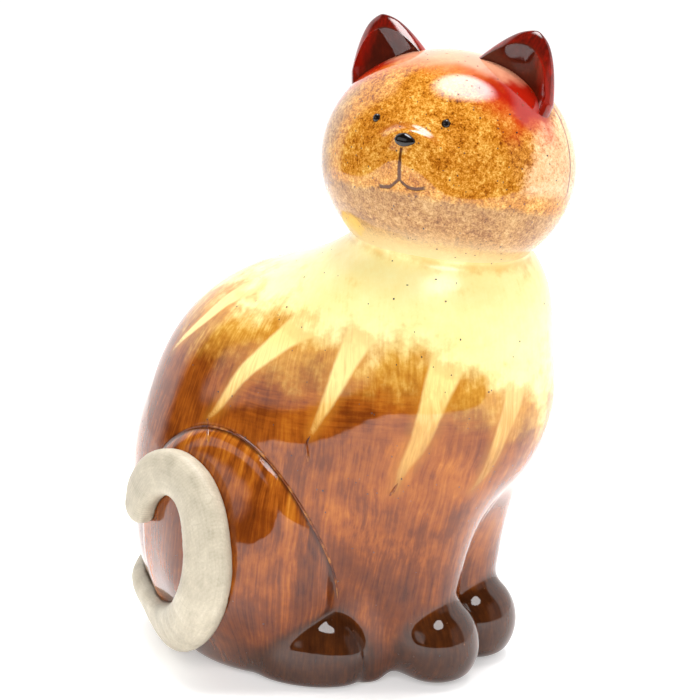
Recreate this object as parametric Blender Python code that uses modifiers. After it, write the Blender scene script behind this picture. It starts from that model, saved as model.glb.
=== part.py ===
"""Sitting ceramic cat, hollow and glazed, with its head turned to its own right.

Metres, +Z up. The body faces -Y, the cat's left is +X, and the tail lies on its right side (-X).
The origin is the centre of the whole model's box, at the foot. Sizes below are in millimetres.

The two casts (body and head) and the tail are modelled as soft lumps that melt into each other.
A "field" is a function that takes points and gives each one's distance from such a surface,
negative inside it. Every piece starts as ordinary primitives and settles onto its field.
"""
import bpy
import bmesh
import numpy as np
from mathutils import Matrix

# ---- driving dimensions, mm -----------------------------------------------------------------
MM = 0.001
WALL = 4.5              # thickness of the slip-cast walls
GAP = 0.35              # clearance left along each stuck joint
FOOT_EDGE = 5.0         # radius round the flat foot
VENT_RADIUS = 14.0      # vent hole through the foot
NECK_HOLE_RADIUS = 13.0 # air hole in the bottom of the head
BOX_MIDDLE = (-3.931, -9.953)    # middle of the model's box from the body's own middle, X and Y

# The body's lumps: centre, radii, backward lean in degrees, width of the melt into the rest.
BODY_LUMPS = (
    ((0, 12, 70), (60, 68, 76), 15, 0),             # rump and belly
    ((0, 0, 119), (46, 56, 36.5), -12, 24),         # shoulders
    ((0, -40.5, 112.5), (50.5, 52, 54), 0, 23),     # chest
    ((0, -50, 147.5), (38.5, 38.5, 32.5), 0, 18),   # neck
    ((0, -16, 88), (55, 46, 56), 0, 16),            # flanks
    ((0, 16, 36), (52, 60, 40), 0, 14),             # seat
    ((0, 8, 14), (52, 48, 30), 0, 10),              # foot
)
LEG_TOP, LEG_TOP_RADIUS = (15.5, -48, 80), 23.5
LEG_ANKLE, LEG_ANKLE_RADIUS = (15.5, -46, 16), 15.5
LEG_MELT = 12.0
FRONT_PAW, FRONT_PAW_RADII, FRONT_PAW_MELT = (15.5, -57, 15), (16.5, 16.5, 18), 4.0
HIND_PAW, HIND_PAW_RADII, HIND_PAW_MELT = (40, -14, 11), (15, 25, 21), 2.0
SHIN, SHIN_RADII, SHIN_MELT = (30, -30, 12), (10, 13, 26), 6.0
HAUNCH_MIDDLE, HAUNCH_RADII = (14, 45), (43, 54.5)      # outline on the flank: Y and Z
HAUNCH_RISE, HAUNCH_BULGE, HAUNCH_ROUND, HAUNCH_CREASE = 2.5, 10.5, 5.0, 1.2

# The head, about its own centre: -Y is its face and +X its left.
HEAD_CENTRE = (-2, -53, 198)
HEAD_TURN = (-12, 4, -87)       # nose lifted, tilted, turned to the right: degrees about X, Y, Z
HEAD_RADII = (48.5, 41, 42)
MUZZLE, MUZZLE_RISE, MUZZLE_SPREAD = (1, 3), 3.6, 8.5      # middle in X and Z, height, spread
EYES = {"eye_right": (-14.0, -37.3, 12.7), "eye_left": (13.0, -36.8, 14.7)}
EYE_RADII = (1.4, 1.3, 1.65)
NOSE, NOSE_RADII = (1.5, -44.0, 6.8), (4.1, 1.8, 2.6)

# The ears, the left one pressed a little larger and more upright. Each: its side, the middle of
# its root, half its width, its height, and how far the tip stands outward for that height.
EARS = {"ear_left": (1, (22.8, -8, 31), 18.4, 22.6, 0.07), "ear_right": (-1, (24, -8, 31), 17.0, 21.0, 0.22)}
EAR_LEAN, EAR_HALF_DEPTH, EAR_ROOT_DEPTH = (-6, 13, 0), 8.0, 9.0
EAR_POINT = 0.54                # how full the sides are: 1 is a straight-sided cone
EAR_HOLLOW_FORWARD, EAR_RIM = 6.5, 1.6

# The tail's middle line, from its root at the back to its tip: X, Y, Z, half its width.
TAIL_LINE = (
    (-9, 75, 21.5, 8.0), (-25, 68, 18.5, 8.8), (-38, 55, 15.5, 9.5), (-50, 41, 14, 10.0),
    (-63.5, 24.5, 22.5, 10.0), (-71, 13.5, 36, 10.0), (-72.5, 9.6, 49, 9.8), (-71.3, 10.7, 61, 9.6),
    (-69.3, 13.8, 71, 9.4), (-66.5, 20, 78.3, 9.2), (-63.5, 29.2, 81.5, 9.0), (-60.6, 39, 79, 8.6),
    (-58, 46.5, 71.5, 8.0), (-56, 50, 63.5, 7.0),
)
TAIL_HALF_THICKNESS = 5.5
TAIL_SQUARENESS = 2.6           # 2 is an oval section, more is boxier


# ---- fields ---------------------------------------------------------------------------------
def turned(x, y, z):
    """Rotation matrix: about X, then Y, then Z, in degrees."""
    about = [Matrix.Rotation(np.radians(angle), 3, axis) for angle, axis in ((x, "X"), (y, "Y"), (z, "Z"))]
    return np.array(about[2] @ about[1] @ about[0])


def ellipsoid(points, centre, radii, turn=None):
    local = points - np.array(centre, float)
    if turn is not None:
        local = local @ turn
    radii = np.array(radii, float)
    scaled = np.linalg.norm(local / radii, axis=1)
    slope = np.linalg.norm(local / radii ** 2, axis=1) + 1e-9
    return scaled * (scaled - 1) / slope


def tapered_rod(points, start, end, start_radius, end_radius):
    start, end = np.array(start, float), np.array(end, float)
    along = end - start
    part = np.clip((points - start) @ along / (along @ along), 0, 1)
    nearest = start + part[:, None] * along
    return np.linalg.norm(points - nearest, axis=1) - (start_radius + (end_radius - start_radius) * part)


def melt(a, b, width):
    """Union of two fields, filleted over a width."""
    if width == 0:
        return np.minimum(a, b)
    overlap = np.maximum(width - np.abs(a - b), 0) / width
    return np.minimum(a, b) - overlap ** 2 * width / 4


def trim(a, b, width):
    """What two fields share, rounded over a width."""
    return -melt(-a, -b, width)


def eased(part):
    """0 to 1 with a soft start and end."""
    part = np.clip(part, 0, 1)
    return part * part * (3 - 2 * part)


def folded(points):
    """The right half of space laid onto the left, for features that come in pairs."""
    return np.column_stack((np.abs(points[:, 0]), points[:, 1:]))


def torso(points):
    paired = folded(points)
    field = np.full(len(points), 1e6)
    for centre, radii, lean, width in BODY_LUMPS:
        field = melt(field, ellipsoid(points, centre, radii, turned(lean, 0, 0)), width)
    legs = tapered_rod(paired, LEG_TOP, LEG_ANKLE, LEG_TOP_RADIUS, LEG_ANKLE_RADIUS)
    field = melt(field, legs, LEG_MELT)
    return melt(field, ellipsoid(paired, FRONT_PAW, FRONT_PAW_RADII), FRONT_PAW_MELT)


def body(points):
    """The torso with its haunches raised inside an oval outline, its hind paws and its flat foot."""
    paired = folded(points)
    plain = torso(points)
    middle, radii = np.array(HAUNCH_MIDDLE), np.array(HAUNCH_RADII)
    outline = (np.linalg.norm((points[:, 1:] - middle) / radii, axis=1) - 1) * radii.min()
    below_top = HAUNCH_MIDDLE[1] + HAUNCH_RADII[1] - points[:, 2]
    bulge = HAUNCH_BULGE * eased(below_top / 66) * eased(points[:, 2] / 40) * eased((60 - points[:, 1]) / 48)
    from_rim = np.clip(-outline / 28, 0, 1)
    rise = HAUNCH_RISE + bulge * from_rim * (2 - from_rim)
    haunch = trim(plain - rise, outline, HAUNCH_ROUND)
    haunch = trim(haunch, 8 - paired[:, 0], 8)
    field = melt(plain, haunch, HAUNCH_CREASE)
    field = melt(field, ellipsoid(paired, SHIN, SHIN_RADII), SHIN_MELT)
    field = melt(field, ellipsoid(paired, HIND_PAW, HIND_PAW_RADII, turned(0, 0, -8)), HIND_PAW_MELT)
    return trim(field, -points[:, 2], FOOT_EDGE)


def body_hollow(points):
    """Inside of the cast: the lumps alone, a wall's thickness in."""
    field = np.full(len(points), 1e6)
    for centre, radii, lean, width in BODY_LUMPS:
        field = melt(field, ellipsoid(points, centre, radii, turned(lean, 0, 0)), width)
    return trim(field, -points[:, 2], FOOT_EDGE) + WALL


HEAD_FRAME = turned(*HEAD_TURN)


def in_head(points):
    return (points - np.array(HEAD_CENTRE)) @ HEAD_FRAME


def head(points):
    local = in_head(points)
    off_nose = ((local[:, (0, 2)] - MUZZLE) ** 2).sum(axis=1)
    muzzle = MUZZLE_RISE * np.exp(-off_nose / (2 * MUZZLE_SPREAD ** 2)) * (local[:, 1] < 0)
    return ellipsoid(local, (0, 0, 0), HEAD_RADII) - muzzle


def head_hollow(points):
    return ellipsoid(in_head(points), (0, 0, 0), HEAD_RADII) + WALL


def ear_cone(local, half_width, height, slant):
    """A flattened cone with full sides, about the middle of its root."""
    left = 1 - np.clip(local[:, 2] / height, 0, 0.999)
    slanted = local[:, 0] - slant * np.clip(local[:, 2], 0, None)
    across = np.hypot(slanted / (half_width * left ** EAR_POINT),
                      local[:, 1] / (EAR_HALF_DEPTH * left ** 0.8 + 0.6))
    side = (across - 1) * EAR_HALF_DEPTH * 0.8
    side = trim(side, -local[:, 2] - EAR_ROOT_DEPTH, 2)
    return trim(side, (local[:, 2] - height) * 0.8, 3)


def ear_hollow_field(points, half_width, height, slant):
    forward = points - np.array((0, -EAR_HOLLOW_FORWARD, EAR_RIM))
    return ear_cone(forward, half_width - EAR_RIM, height - 2.5 * EAR_RIM, slant)


def slope_of(field, points, step=0.2):
    """Unit direction in which a field grows fastest, and how fast."""
    grow = np.empty_like(points)
    for axis in range(3):
        nudge = np.zeros(3)
        nudge[axis] = step
        grow[:, axis] = (field(points + nudge) - field(points - nudge)) / (2 * step)
    size = np.linalg.norm(grow, axis=1, keepdims=True) + 1e-9
    return grow / size, size[:, 0]


def smooth_line(marks, steps):
    """Catmull-Rom curve through rows of numbers, with a few steps between each two."""
    marks = np.array(marks, float)
    rows = np.vstack((2 * marks[0] - marks[1], marks, 2 * marks[-1] - marks[-2]))
    line = []
    for a, b, c, d in zip(rows, rows[1:], rows[2:], rows[3:]):
        for t in np.arange(steps) / steps:
            line.append(0.5 * (2 * b + (c - a) * t + (2 * a - 5 * b + 4 * c - d) * t ** 2
                               + (3 * b - 3 * c + d - a) * t ** 3))
    return np.array(line + [marks[-1]])


TAIL = smooth_line(TAIL_LINE, 4)
TAIL_OUTWARD = slope_of(torso, TAIL[:, :3])[0]


def tail_field(points):
    """A strip with a squared oval section that lies flat against the torso."""
    field = np.full(len(points), 1e6)
    for here, there, outward in zip(TAIL, TAIL[1:], TAIL_OUTWARD):
        along = there[:3] - here[:3]
        part = np.clip((points - here[:3]) @ along / (along @ along), 0, 1)
        away = points - here[:3] - part[:, None] * along
        height = away @ outward
        across = np.sqrt(np.maximum((away ** 2).sum(axis=1) - height ** 2, 0))
        half_width = here[3] + (there[3] - here[3]) * part
        oval = (across / half_width) ** TAIL_SQUARENESS + (np.abs(height) / TAIL_HALF_THICKNESS) ** TAIL_SQUARENESS
        field = np.minimum(field, (oval ** (1 / TAIL_SQUARENESS) - 1) * TAIL_HALF_THICKNESS * 0.9)
    return field


# ---- scene ----------------------------------------------------------------------------------
for leftover in list(bpy.data.objects):
    bpy.data.objects.remove(leftover, do_unlink=True)

pieces = bpy.data.collections.new("ceramic_cat")
cutters = bpy.data.collections.new("cutters")
for collection in (pieces, cutters):
    bpy.context.scene.collection.children.link(collection)

seat = bpy.data.objects.new("seat", None)
seat.location = (-BOX_MIDDLE[0] * MM, -BOX_MIDDLE[1] * MM, 0)
pieces.objects.link(seat)


def glaze(name, colour, roughness):
    material = bpy.data.materials.new(name)
    material.use_nodes = True
    shader = material.node_tree.nodes["Principled BSDF"]
    shader.inputs["Base Color"].default_value = (*colour, 1)
    shader.inputs["Roughness"].default_value = roughness
    shader.inputs["Metallic"].default_value = 0
    material.diffuse_color = (*colour, 1)
    return material


def add_object(name, mesh, collection, material=None):
    thing = bpy.data.objects.new(name, mesh)
    thing.parent = seat
    collection.objects.link(thing)
    if collection is cutters:
        thing.hide_render = True
        thing.display_type = "WIRE"
    if material:
        mesh.materials.clear()
        mesh.materials.append(material)
        mesh.shade_smooth()
        mesh.set_sharp_from_angle(angle=np.radians(50))
    return thing


# ---- meshes from fields ---------------------------------------------------------------------
def coordinates(mesh):
    flat = np.empty(len(mesh.vertices) * 3)
    mesh.vertices.foreach_get("co", flat)
    return flat.reshape(-1, 3) / MM


def put_coordinates(mesh, points):
    mesh.vertices.foreach_set("co", (points * MM).ravel())
    mesh.update()


def settle(mesh, field, rounds=4):
    """Slides every vertex straight onto the field's surface."""
    points = coordinates(mesh)
    for _ in range(rounds):
        outward, steepness = slope_of(field, points)
        reach = np.clip(field(points) / np.maximum(steepness, 0.3), -3, 3)
        points -= outward * reach[:, None]
    put_coordinates(mesh, points)


def even_out(mesh, field, rounds):
    """Spreads the vertices evenly over the field's surface."""
    ends = np.empty(len(mesh.edges) * 2, dtype=np.int32)
    mesh.edges.foreach_get("vertices", ends)
    a, b = ends.reshape(-1, 2).T
    for _ in range(rounds):
        points = coordinates(mesh)
        total, count = np.zeros_like(points), np.zeros(len(points))
        for here, there in ((a, b), (b, a)):
            np.add.at(total, here, points[there])
            np.add.at(count, here, 1)
        put_coordinates(mesh, points + 0.5 * (total / count[:, None] - points))
        settle(mesh, field, 2)


def evaluated(thing):
    """The mesh that an object's modifiers make, as a new plain mesh."""
    bpy.context.view_layer.update()
    return bpy.data.meshes.new_from_object(thing.evaluated_get(bpy.context.evaluated_depsgraph_get()))


def thinned(mesh, triangles):
    """The same surface in about this many triangles."""
    holder = add_object("holder", mesh, pieces)
    split = holder.modifiers.new("Triangles", "TRIANGULATE")
    split.quad_method = "BEAUTY"
    faces = sum(len(face.vertices) - 2 for face in mesh.polygons)
    fewer = holder.modifiers.new("Fewer", "DECIMATE")
    fewer.ratio = min(1, triangles / faces)
    result = evaluated(holder)
    bpy.data.objects.remove(holder)
    return result


def ball(bm, centre, radii, turn=np.eye(3), subdivisions=3):
    place = Matrix.Translation(np.array(centre) * MM) @ Matrix(turn.tolist()).to_4x4()
    place = place @ Matrix.Diagonal((*(np.array(radii) * MM), 1))
    bmesh.ops.create_icosphere(bm, subdivisions=subdivisions, radius=1, matrix=place)


def grown_from_balls(name, balls, field, voxel, triangles):
    """Balls fused by a voxel remesh, then settled onto the field that blends them."""
    bm = bmesh.new()
    for centre, radii, turn in balls:
        ball(bm, centre, radii, turn)
    mesh = bpy.data.meshes.new(name)
    bm.to_mesh(mesh)
    bm.free()
    holder = add_object("holder", mesh, pieces)
    fuse = holder.modifiers.new("Fuse", "REMESH")
    fuse.mode = "VOXEL"
    fuse.voxel_size = voxel * MM
    fused = evaluated(holder)
    bpy.data.objects.remove(holder)
    settle(fused, field, 6)
    even_out(fused, field, 4)
    mesh = thinned(fused, triangles)
    settle(mesh, field, 3)
    mesh.name = name
    return mesh


def blown_from_ball(name, centre, field, subdivisions, reach):
    """One ball whose vertices slide out along their own rays until they meet the field."""
    bm = bmesh.new()
    bmesh.ops.create_icosphere(bm, subdivisions=subdivisions, radius=1)
    mesh = bpy.data.meshes.new(name)
    bm.to_mesh(mesh)
    bm.free()
    rays = coordinates(mesh) * MM
    near, far = np.zeros(len(rays)), np.full(len(rays), float(reach))
    for _ in range(40):
        half = (near + far) / 2
        inside = field(np.array(centre) + rays * half[:, None]) < 0
        near, far = np.where(inside, half, near), np.where(inside, far, half)
    put_coordinates(mesh, np.array(centre) + rays * near[:, None])
    return mesh


def grown_copy(mesh, field, distance):
    """The same facets moved outward, to cut a neighbour back by a clearance."""
    copy = mesh.copy()
    points = coordinates(copy)
    put_coordinates(copy, points + slope_of(field, points)[0] * distance)
    return copy


def placed(mesh, centre, turn):
    """A small piece's mesh carried from its own frame into the model's."""
    put_coordinates(mesh, coordinates(mesh) @ np.array(turn).T + np.array(centre))
    return mesh


def cut(thing, cutter):
    """Takes a cutter out of a piece with a live Boolean."""
    boolean = thing.modifiers.new("Cut by " + cutter.name, "BOOLEAN")
    boolean.operation = "DIFFERENCE"
    boolean.solver = "EXACT"
    boolean.object = cutter


def plug_cutter(name, centre, radius, depth):
    """An upright cylinder that bores a hole."""
    bm = bmesh.new()
    middle = Matrix.Translation(np.array(centre) * MM)
    bmesh.ops.create_cone(bm, cap_ends=True, segments=32, radius1=radius * MM, radius2=radius * MM,
                          depth=depth * MM, matrix=middle)
    mesh = bpy.data.meshes.new(name)
    bm.to_mesh(mesh)
    bm.free()
    return add_object(name, mesh, cutters)


# ---- head_shell: the second cast, a hollow ball with a small muzzle -------------------------
head_mesh = thinned(blown_from_ball("head_shell", HEAD_CENTRE, head, 5, 80), 1600)
settle(head_mesh, head)
head_clearance = add_object("head_clearance", grown_copy(head_mesh, head, GAP), cutters)
head_shell = add_object("head_shell", head_mesh, pieces, glaze("head_glaze", (0.62, 0.30, 0.07), 0.08))
head_inside = add_object("head_inside", blown_from_ball("head_inside", HEAD_CENTRE, head_hollow, 3, 80), cutters)
neck_hole = plug_cutter("neck_hole", (HEAD_CENTRE[0], HEAD_CENTRE[1], 155), NECK_HOLE_RADIUS, 30)
cut(head_shell, head_inside)
cut(head_shell, neck_hole)

# ---- body_shell: the main cast, dished at the neck where the head is stuck on ---------------
legs = [((side * LEG_TOP[0], (LEG_TOP[1] + LEG_ANKLE[1]) / 2, height), (radius, radius, 22), np.eye(3))
        for side in (-1, 1) for height, radius in ((70, 20), (48, 17), (28, 14))]
paws = [((side * paw[0], paw[1], paw[2]), radii, np.eye(3))
        for side in (-1, 1) for paw, radii in ((FRONT_PAW, FRONT_PAW_RADII), (HIND_PAW, HIND_PAW_RADII))]
lumps = [(centre, radii, turned(lean, 0, 0)) for centre, radii, lean, _ in BODY_LUMPS]
body_mesh = grown_from_balls("body_shell", lumps + legs + paws, body, 3.6, 3800)
points = coordinates(body_mesh)
points[points[:, 2] < 0.05, 2] = 0
put_coordinates(body_mesh, points)
body_clearance = add_object("body_clearance", grown_copy(body_mesh, body, GAP), cutters)
body_shell = add_object("body_shell", body_mesh, pieces, glaze("body_glaze", (0.36, 0.15, 0.06), 0.08))
inner_lumps = [(centre, np.array(radii) - WALL, turn) for centre, radii, turn in lumps]
body_inside = add_object("body_inside",
                         grown_from_balls("body_inside", inner_lumps, body_hollow, 6.0, 700), cutters)
vent = plug_cutter("vent", (0, 10, 5), VENT_RADIUS, 30)
for cutter in (body_inside, vent, head_clearance):
    cut(body_shell, cutter)

# ---- ears: pressed cones, scooped at the front, stuck on the head ---------------------------
ear_glaze = glaze("ear_glaze", (0.30, 0.02, 0.01), 0.08)
for name, (side, root, half_width, height, slant) in EARS.items():
    size = half_width, height, slant
    solid = thinned(blown_from_ball(name, (0, 1, 0.25 * height),
                                    lambda p: ear_cone(p, *size), 4, 60), 700)
    scoop = thinned(blown_from_ball(name + "_scoop", (0, -EAR_HOLLOW_FORWARD, 0.3 * height),
                                    lambda p: ear_hollow_field(p, *size), 4, 60), 700)
    for mesh in (solid, scoop):
        placed(mesh, root, turned(*EAR_LEAN))
        if side < 0:
            put_coordinates(mesh, coordinates(mesh) * (-1, 1, 1))
            mesh.flip_normals()
        placed(mesh, HEAD_CENTRE, HEAD_FRAME)
    ear = add_object(name, solid, pieces, ear_glaze)
    cut(ear, add_object(name + "_scoop", scoop, cutters))
    cut(ear, head_clearance)

# ---- eyes and nose: drops of black enamel that stand on the face ----------------------------
enamel = glaze("black_enamel", (0.01, 0.008, 0.007), 0.1)
drops = [(name, centre, EYE_RADII) for name, centre in EYES.items()] + [("nose", NOSE, NOSE_RADII)]
for name, centre, radii in drops:
    bm = bmesh.new()
    ball(bm, centre, radii)
    drop = bpy.data.meshes.new(name)
    bm.to_mesh(drop)
    bm.free()
    put_coordinates(drop, coordinates(drop) @ HEAD_FRAME.T + np.array(HEAD_CENTRE))
    cut(add_object(name, drop, pieces, enamel), head_clearance)

# ---- tail: a flattened coil of clay, stuck round the right haunch ---------------------------
beads = [(row[:3], (row[3], TAIL_HALF_THICKNESS, row[3]), np.eye(3)) for row in TAIL]
tail_mesh = grown_from_balls("tail", beads, tail_field, 2.4, 1000)
tail = add_object("tail", tail_mesh, pieces, glaze("tail_slip", (0.72, 0.66, 0.54), 0.45))
cut(tail, body_clearance)
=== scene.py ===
"""Looks for a sitting ceramic cat: a hollow earthenware figure, brushed and sponged with colour
under a clear gloss glaze. Metres in the scene; the shape functions below work in millimetres."""
import bmesh
import bpy
import numpy as np
from mathutils import Matrix, Vector


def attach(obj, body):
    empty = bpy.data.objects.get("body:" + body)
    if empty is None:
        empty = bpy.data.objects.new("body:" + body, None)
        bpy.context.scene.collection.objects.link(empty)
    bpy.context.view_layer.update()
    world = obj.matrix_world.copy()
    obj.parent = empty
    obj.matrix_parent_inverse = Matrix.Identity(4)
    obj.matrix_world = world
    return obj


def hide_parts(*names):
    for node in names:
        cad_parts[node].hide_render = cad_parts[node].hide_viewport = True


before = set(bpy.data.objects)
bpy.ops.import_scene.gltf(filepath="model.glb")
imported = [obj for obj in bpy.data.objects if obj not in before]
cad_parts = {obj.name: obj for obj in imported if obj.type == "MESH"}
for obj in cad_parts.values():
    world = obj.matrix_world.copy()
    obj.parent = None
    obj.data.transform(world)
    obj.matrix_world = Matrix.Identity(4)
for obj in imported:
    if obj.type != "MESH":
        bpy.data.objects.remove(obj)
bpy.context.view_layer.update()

# ---- body: the main slip cast ---------------------------------------------------------------
# Rump, chest, haunches, legs and paws come out of one plaster mould as a shell of white
# earthenware about 4.5 mm thick, open at the neck and vented through the flat foot. The haunches
# are raised inside a fettled line, and the paws are pressed in with a tool before firing.
MM = 0.001
BOX_MIDDLE = np.array((-3.931, -9.953, 0))       # middle of the model's box from the body's own
WALL, VENT_RADIUS, AIR_HOLE_RADIUS = 4.5, 14.0, 13.0
SLIP_OVERLAP = 0.05                             # slip closes every stuck joint
BODY_LUMPS = (                                  # centre, radii, backward lean, melt
    ((0, 12, 70), (60, 68, 76), 15, 0),             # rump and belly
    ((0, 0, 119), (46, 56, 36.5), -12, 24),         # shoulders
    ((0, -40.5, 112.5), (50.5, 52, 54), 0, 23),     # chest
    ((0, -50, 147.5), (38.5, 38.5, 32.5), 0, 18),   # neck
    ((0, -16, 88), (55, 46, 56), 0, 16),            # flanks
    ((0, 16, 36), (52, 60, 40), 0, 14),             # seat
    ((0, 8, 14), (52, 48, 30), 0, 10),              # foot
)
LEG = ((15.5, -48, 80), (15.5, -46, 16), 23.5, 15.5, 12.0)      # top, ankle, radii, melt
FRONT_PAW = ((15.5, -57, 15), (16.5, 16.5, 18), 4.0)
HIND_PAW = ((40, -14, 11), (15, 25, 21), 2.0)
SHIN = ((30, -30, 12), (10, 13, 26), 6.0)
HAUNCH_MIDDLE, HAUNCH_RADII = np.array((14, 45)), np.array((43, 54.5))
HAUNCH_RISE, HAUNCH_BULGE, HAUNCH_ROUND, HAUNCH_CREASE = 2.5, 10.5, 5.0, 1.2
BULGE_FROM_TOP, BULGE_FROM_FOOT, BULGE_FROM_RIM = 66, 40, 28     # run over which the haunch swells
BULGE_BACK_END, BULGE_BACK_RUN, HAUNCH_FROM_MIDDLE = 60, 48, 8
FOOT_EDGE = 5.0
BODY_GRAIN = 1.3        # mesh size, finer than any edge on the cast
HOLLOW_GRAIN, CREASE_ANGLE = 5.0, 50            # the unseen inside is coarser; sharper edges stay sharp


def turned(x, y, z):
    spins = [Matrix.Rotation(np.radians(angle), 3, axis) for angle, axis in ((x, "X"), (y, "Y"), (z, "Z"))]
    return np.array(spins[2] @ spins[1] @ spins[0])


def egg(points, centre, radii, turn=None):
    """Distance from an egg-shaped lump, negative inside it."""
    local = points - np.array(centre, float)
    if turn is not None:
        local = local @ turn
    radii = np.array(radii, float)
    scaled = np.linalg.norm(local / radii, axis=1)
    return scaled * (scaled - 1) / (np.linalg.norm(local / radii ** 2, axis=1) + 1e-9)


def rod(points, start, end, start_radius, end_radius):
    """Distance from a tapered rod."""
    start, end = np.array(start, float), np.array(end, float)
    along = end - start
    part = np.clip((points - start) @ along / (along @ along), 0, 1)
    away = np.linalg.norm(points - start - part[:, None] * along, axis=1)
    return away - start_radius - (end_radius - start_radius) * part


def melt(a, b, width):
    """Two lumps run together, with a fillet of this width."""
    if width == 0:
        return np.minimum(a, b)
    overlap = np.maximum(width - np.abs(a - b), 0) / width
    return np.minimum(a, b) - overlap ** 2 * width / 4


def trim(a, b, width):
    """What two lumps share, with its edge rounded."""
    return -melt(-a, -b, width)


def eased(part):
    """0 to 1 with a soft start and end."""
    part = np.clip(part, 0, 1)
    return part * part * (3 - 2 * part)


def paired(points):
    return np.column_stack((np.abs(points[:, 0]), points[:, 1:]))


def lumps_only(points):
    shape = np.full(len(points), 1e6)
    for centre, radii, lean, width in BODY_LUMPS:
        shape = melt(shape, egg(points, centre, radii, turned(lean, 0, 0)), width)
    return shape


def torso(points):
    top, ankle, top_radius, ankle_radius, width = LEG
    shape = melt(lumps_only(points), rod(paired(points), top, ankle, top_radius, ankle_radius), width)
    return melt(shape, egg(paired(points), *FRONT_PAW[:2]), FRONT_PAW[2])


def haunch_outline(points):
    """How far outside the haunch's oval outline a point on the flank is, in mm."""
    return (np.linalg.norm((points[:, 1:] - HAUNCH_MIDDLE) / HAUNCH_RADII, axis=1) - 1) * HAUNCH_RADII.min()


def body_shape(points):
    plain = torso(points)
    below_top = HAUNCH_MIDDLE[1] + HAUNCH_RADII[1] - points[:, 2]
    bulge = HAUNCH_BULGE * eased(below_top / BULGE_FROM_TOP) * eased(points[:, 2] / BULGE_FROM_FOOT)
    bulge = bulge * eased((BULGE_BACK_END - points[:, 1]) / BULGE_BACK_RUN)
    from_rim = np.clip(-haunch_outline(points) / BULGE_FROM_RIM, 0, 1)
    rise = HAUNCH_RISE + bulge * from_rim * (2 - from_rim)
    haunch = trim(plain - rise, haunch_outline(points), HAUNCH_ROUND)
    haunch = trim(haunch, HAUNCH_FROM_MIDDLE - np.abs(points[:, 0]), 8)
    shape = melt(plain, haunch, HAUNCH_CREASE)
    shape = melt(shape, egg(paired(points), *SHIN[:2]), SHIN[2])
    shape = melt(shape, egg(paired(points), *HIND_PAW[:2], turned(0, 0, -8)), HIND_PAW[2])
    return trim(shape, -points[:, 2], FOOT_EDGE)


def slope_of(shape, points, step=0.1):
    """Unit outward direction at each point, and how fast the distance grows along it."""
    grow = np.empty_like(points)
    for axis in range(3):
        nudge = np.zeros(3)
        nudge[axis] = step
        grow[:, axis] = (shape(points + nudge) - shape(points - nudge)) / (2 * step)
    size = np.linalg.norm(grow, axis=1, keepdims=True) + 1e-9
    return grow / size, size[:, 0]


def points_of(mesh):
    flat = np.empty(len(mesh.vertices) * 3)
    mesh.vertices.foreach_get("co", flat)
    return flat.reshape(-1, 3) / MM + BOX_MIDDLE


def set_points(mesh, points):
    mesh.vertices.foreach_set("co", ((points - BOX_MIDDLE) * MM).ravel())
    mesh.update()


def settle(mesh, shape, rounds=4):
    """Slides every vertex straight onto the shape's surface."""
    points = points_of(mesh)
    for _ in range(rounds):
        outward, steepness = slope_of(shape, points)
        points -= outward * np.clip(shape(points) / np.maximum(steepness, 0.3), -3, 3)[:, None]
    set_points(mesh, points)


def even_out(mesh, shape, rounds):
    """Spreads the vertices evenly over the surface, as a damp sponge evens a cast."""
    ends = np.empty(len(mesh.edges) * 2, dtype=np.int32)
    mesh.edges.foreach_get("vertices", ends)
    a, b = ends.reshape(-1, 2).T
    for _ in range(rounds):
        points = points_of(mesh)
        count = np.bincount(a, minlength=len(points)) + np.bincount(b, minlength=len(points))
        mean = np.empty_like(points)
        for axis in range(3):
            total = np.bincount(a, points[b, axis], len(points))
            mean[:, axis] = (total + np.bincount(b, points[a, axis], len(points))) / count
        set_points(mesh, (points + mean) / 2)
        settle(mesh, shape, 2)


def as_mesh(name, bm):
    mesh = bpy.data.meshes.new(name)
    bm.to_mesh(mesh)
    bm.free()
    return mesh


def add_piece(name, data):
    piece = bpy.data.objects.new(name, data)
    bpy.context.scene.collection.objects.link(piece)
    return piece


def as_made(piece):
    """The mesh that a piece's modifiers make, with the piece itself cleared away."""
    bpy.context.view_layer.update()
    mesh = bpy.data.meshes.new_from_object(piece.evaluated_get(bpy.context.evaluated_depsgraph_get()))
    bpy.data.objects.remove(piece)
    return mesh


def modelled(name, balls, shape, grain):
    """Balls of clay fused at a grain size in mm, then settled onto the shape that blends them."""
    bm = bmesh.new()
    for centre, radii, turn in balls:
        place = Matrix.Translation((np.array(centre, float) - BOX_MIDDLE) * MM)
        place = place @ Matrix(turn.tolist()).to_4x4()
        place = place @ Matrix.Diagonal((*(np.array(radii) * MM), 1))
        bmesh.ops.create_icosphere(bm, subdivisions=4, radius=1, matrix=place)
    lump = add_piece("lump", as_mesh(name, bm))
    fuse = lump.modifiers.new("Fuse", "REMESH")
    fuse.mode = "VOXEL"
    fuse.voxel_size = grain * MM
    mesh = as_made(lump)
    mesh.name = name
    settle(mesh, shape, 6)
    even_out(mesh, shape, 3)
    return mesh


def cut_from(mesh, *cutters):
    """A cast with other closed meshes taken out of it."""
    whole = add_piece("whole", mesh)
    knives = [add_piece("knife", cutter) for cutter in cutters]
    for knife in knives:
        cut = whole.modifiers.new("Cut", "BOOLEAN")
        cut.operation = "DIFFERENCE"
        cut.solver = "MANIFOLD"
        cut.object = knife
    result = as_made(whole)
    for knife in knives:
        bpy.data.objects.remove(knife)
    result.materials.clear()
    return result


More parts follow.
